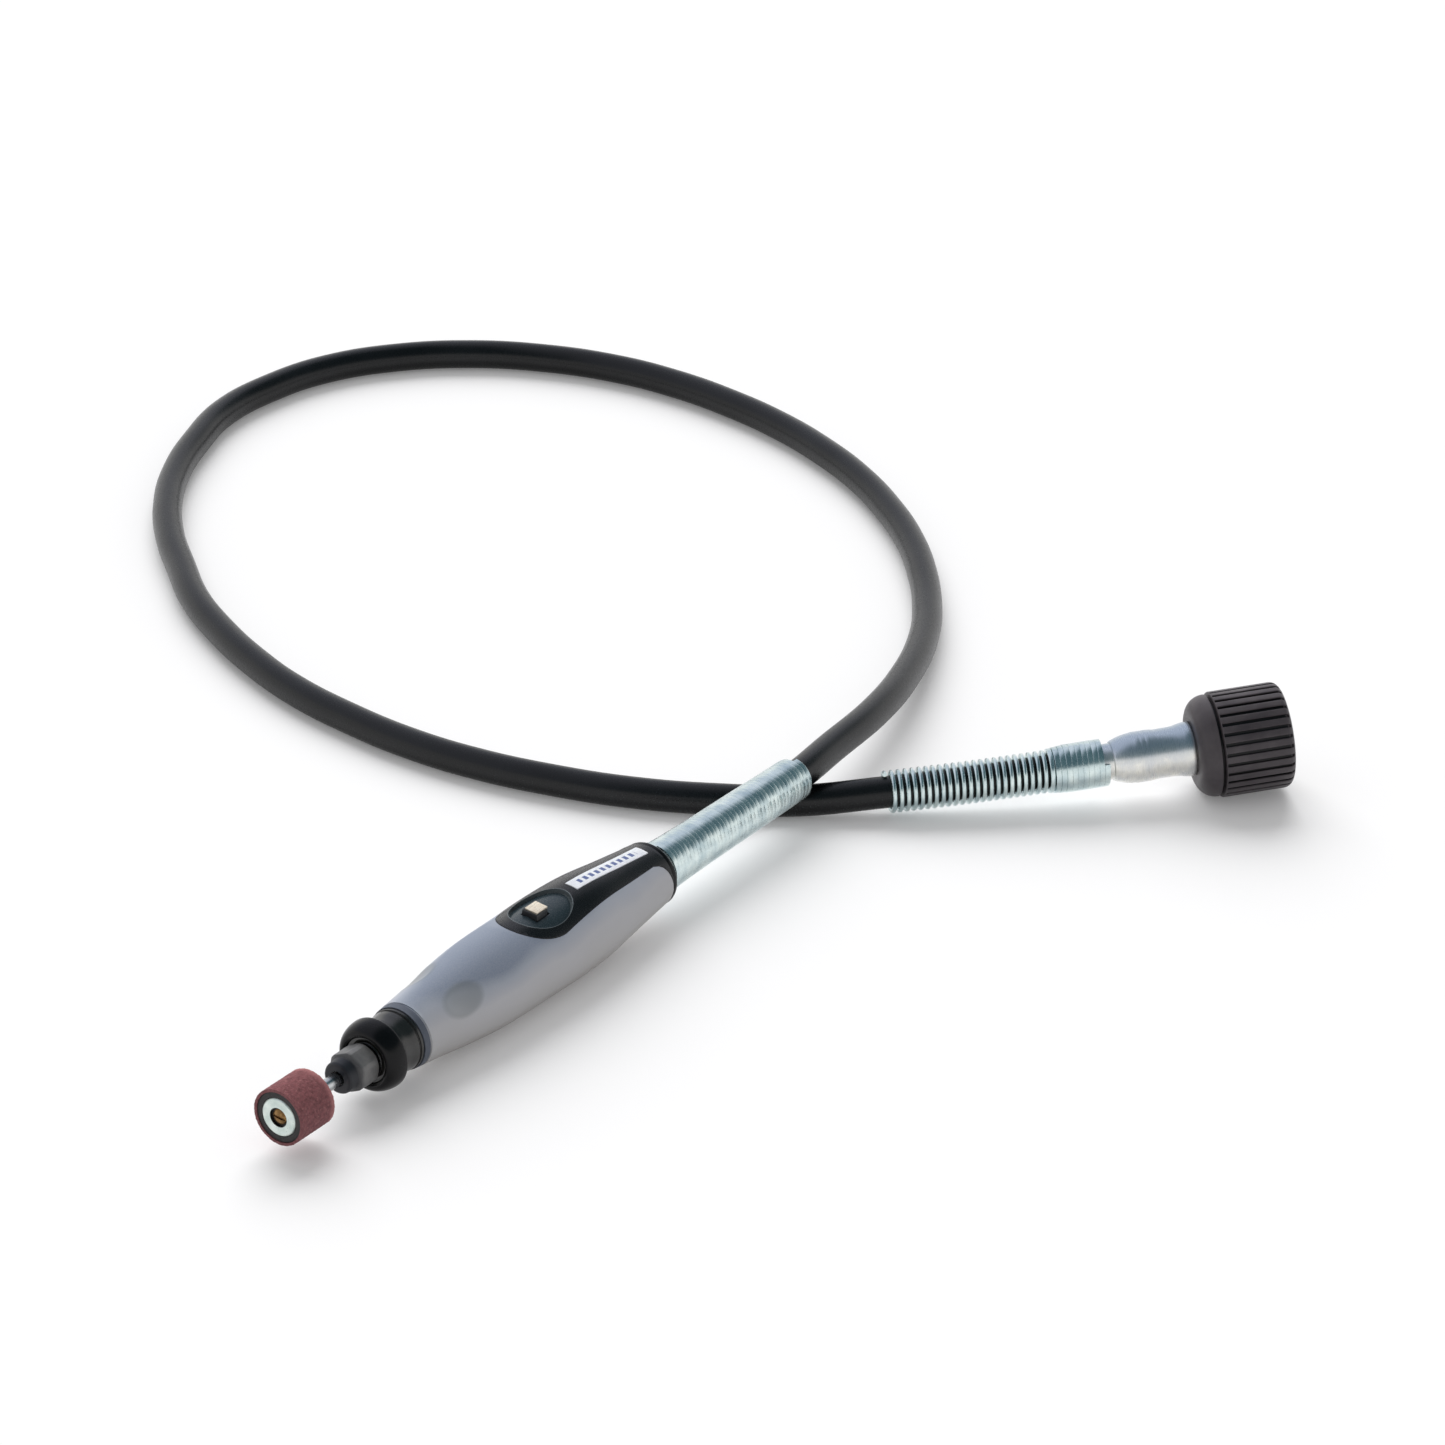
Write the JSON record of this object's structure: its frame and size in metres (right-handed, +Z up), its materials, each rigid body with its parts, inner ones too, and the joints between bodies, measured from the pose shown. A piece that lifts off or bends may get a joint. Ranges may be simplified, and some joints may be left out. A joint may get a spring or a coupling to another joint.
{
  "type": "flexible shaft attachment",
  "caption": "Slim rotary handpiece with a sanding drum on a long flexible shaft that ends in a ribbed screw-on coupling nut.",
  "frame": {"origin": "on the table, under the middle of the handpiece and the coupling end taken together without the flexible shaft's cover, liner and core", "axes": "+X along the handpiece from the sanding drum to the tail, +Z up from the table, +Y to the left of the handpiece"},
  "size_m": [0.4051, 0.3706, 0.0275],
  "materials": {
    "grip_plastic": "fine matte moulding",
    "panel_plastic": "satin moulding",
    "label_film": "smooth film",
    "frame_plastic": "moulded",
    "aluminium": "turned",
    "black_oxide": "black oxide on turned steel",
    "gloss_black": "glossy",
    "bearing_steel": "ground",
    "spring_steel": "dark",
    "bronze": "sintered bronze",
    "zinc_plate": "bright zinc plate",
    "cover_rubber": "satin extruded cover",
    "core_steel": "wound wire",
    "ground_steel": "ground",
    "nut_steel": "black oxide",
    "drum_rubber": "moulded",
    "washer_steel": "bright plate",
    "brass": "turned",
    "abrasive": "aluminium oxide grit on a cloth band",
    "cap_metal": "champagne anodised",
    "knob_plastic": "moulded"
  },
  "bodies": {
    "handle": {"grip_shell": "grip_plastic", "top_panel": "panel_plastic", "label_plate": "label_film", "tail_ring": "panel_plastic", "inner_frame": "frame_plastic", "bearing_tube": "aluminium", "nose_collar": "black_oxide", "guard_flange": "gloss_black", "front_race_outer": "bearing_steel", "front_balls": "bearing_steel", "rear_race_outer": "bearing_steel", "rear_balls": "bearing_steel", "outer_spacer": "aluminium", "wave_washer": "spring_steel", "tube_clip": "spring_steel", "pin_guide": "bronze", "lock_spring": "zinc_plate", "set_screws": "spring_steel", "tail_bush": "zinc_plate", "tail_spring": "zinc_plate", "sheath": "cover_rubber", "casing_liner": "core_steel", "drive_core": "core_steel", "machine_spring": "zinc_plate", "casing_ferrule": "zinc_plate", "ferrule_bushing": "bronze", "coupling_clip": "spring_steel"},
    "spindle": {"spindle": "ground_steel", "front_race_inner": "bearing_steel", "rear_race_inner": "bearing_steel", "inner_spacer": "aluminium", "spindle_clip": "spring_steel", "core_end": "core_steel"},
    "collet": {"collet": "ground_steel"},
    "collet_nut": {"collet_nut": "nut_steel"},
    "mandrel": {"mandrel": "ground_steel", "rubber_drum": "drum_rubber", "front_washer": "washer_steel"},
    "drum_screw": {"drum_screw": "brass"},
    "sanding_band": {"sanding_band": "abrasive"},
    "lock_button": {"lock_button": "panel_plastic", "button_cap": "cap_metal", "lock_pin": "ground_steel"},
    "coupling_nut": {"coupling_nut": "knob_plastic", "thread_insert": "brass"},
    "drive_tip": {"drive_tip": "ground_steel"}
  },
  "joints": [
    {"name": "spindle_spin", "type": "hinge", "parent": "handle", "child": "spindle", "pos_m": [-0.08901, 0.0405, 0.01102], "axis": [0.9999, 0, 0.014], "continuous": true},
    {"name": "drive_tip_spin", "type": "hinge", "parent": "handle", "child": "drive_tip", "pos_m": [0.12342, -0.03, 0.01264], "axis": [0.7169, -0.6923, 0.0819], "continuous": true},
    {"name": "collet_travel", "type": "slide", "parent": "spindle", "child": "collet", "axis": [-0.9999, 0, -0.014], "range_m": [0, 0.0014]},
    {"name": "nut_turn", "type": "hinge", "parent": "collet", "child": "collet_nut", "pos_m": [-0.124, 0.0405, 0.01053], "axis": [-0.9999, 0, -0.014], "range_deg": [0, 720]},
    {"name": "mandrel_pull", "type": "slide", "parent": "collet", "child": "mandrel", "axis": [-0.9999, 0, -0.014], "range_m": [0, 0.032]},
    {"name": "screw_turn", "type": "hinge", "parent": "mandrel", "child": "drum_screw", "pos_m": [-0.145, 0.0405, 0.01023], "axis": [-0.9999, 0, -0.014], "range_deg": [0, 360]},
    {"name": "band_slide", "type": "slide", "parent": "mandrel", "child": "sanding_band", "axis": [-0.9999, 0, -0.014], "range_m": [0, 0.014]},
    {"name": "lock_press", "type": "slide", "parent": "handle", "child": "lock_button", "axis": [0.0139, 0.1219, -0.9924], "range_m": [0, 0.0014], "stiffness_N_per_m": 800, "springref_m": -0.0015, "deforming": ["lock_spring"]},
    {"name": "coupling_turn", "type": "hinge", "parent": "handle", "child": "coupling_nut", "pos_m": [0.13059, -0.03692, 0.01346], "axis": [0.7169, -0.6923, 0.0819], "continuous": true}
  ],
  "couplings": [
    {"joint": "drive_tip_spin", "follows": "spindle_spin", "ratio": 1},
    {"joint": "nut_turn", "follows": "collet_travel", "rad_per_m": 8976}
  ]
}
